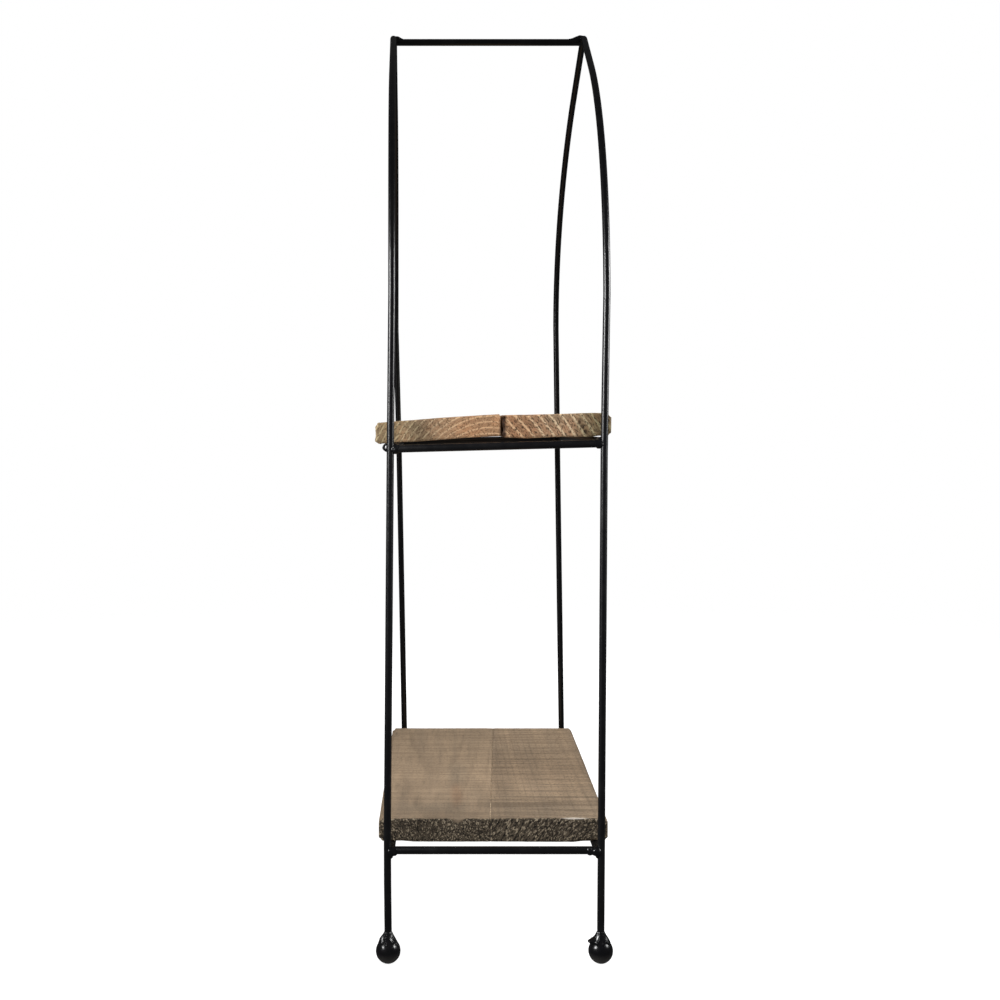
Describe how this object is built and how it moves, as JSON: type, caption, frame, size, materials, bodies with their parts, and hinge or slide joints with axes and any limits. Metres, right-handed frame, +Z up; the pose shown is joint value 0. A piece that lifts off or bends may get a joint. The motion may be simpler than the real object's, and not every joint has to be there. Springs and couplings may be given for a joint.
{
  "type": "wire etagere",
  "caption": "Free-standing wire etagere: pointed-arch side frames of bent rod joined by bars, with plank shelves and ball feet.",
  "frame": {"origin": "on the floor under the middle of the part: the bottom centre of its box", "axes": "+Z up, +X to the right across the shelves, +Y along the shelves away from the end that the picture shows"},
  "size_m": [0.2078, 0.403, 0.8585],
  "materials": {
    "satin_black_paint": "satin black paint on steel rod",
    "gloss_black_paint": "gloss black paint on steel balls and weld beads",
    "grey_brown_wood": "grey-brown stained rough-sawn wood",
    "warm_brown_wood": "warm brown rough-sawn wood"
  },
  "bodies": {
    "root": {"left_arch": "satin_black_paint", "right_arch": "satin_black_paint", "top_bar": "satin_black_paint", "lower_near_bar": "satin_black_paint", "lower_far_bar": "satin_black_paint", "upper_near_bar": "satin_black_paint", "upper_far_bar": "satin_black_paint", "lower_left_rail": "satin_black_paint", "lower_right_rail": "satin_black_paint", "upper_left_rail": "satin_black_paint", "upper_right_rail": "satin_black_paint", "near_left_foot": "gloss_black_paint", "near_right_foot": "gloss_black_paint", "far_left_foot": "gloss_black_paint", "far_right_foot": "gloss_black_paint", "near_left_foot_weld": "gloss_black_paint", "near_right_foot_weld": "gloss_black_paint", "far_left_foot_weld": "gloss_black_paint", "far_right_foot_weld": "gloss_black_paint", "lower_near_left_weld": "gloss_black_paint", "lower_near_right_weld": "gloss_black_paint", "lower_far_left_weld": "gloss_black_paint", "lower_far_right_weld": "gloss_black_paint", "upper_near_left_weld": "gloss_black_paint", "upper_near_right_weld": "gloss_black_paint", "upper_far_left_weld": "gloss_black_paint", "upper_far_right_weld": "gloss_black_paint", "apex_left_weld": "gloss_black_paint", "apex_right_weld": "gloss_black_paint", "lower_shelf_left_plank": "grey_brown_wood", "lower_shelf_right_plank": "grey_brown_wood", "upper_shelf_left_plank": "warm_brown_wood", "upper_shelf_right_plank": "warm_brown_wood"}
  },
  "joints": []
}
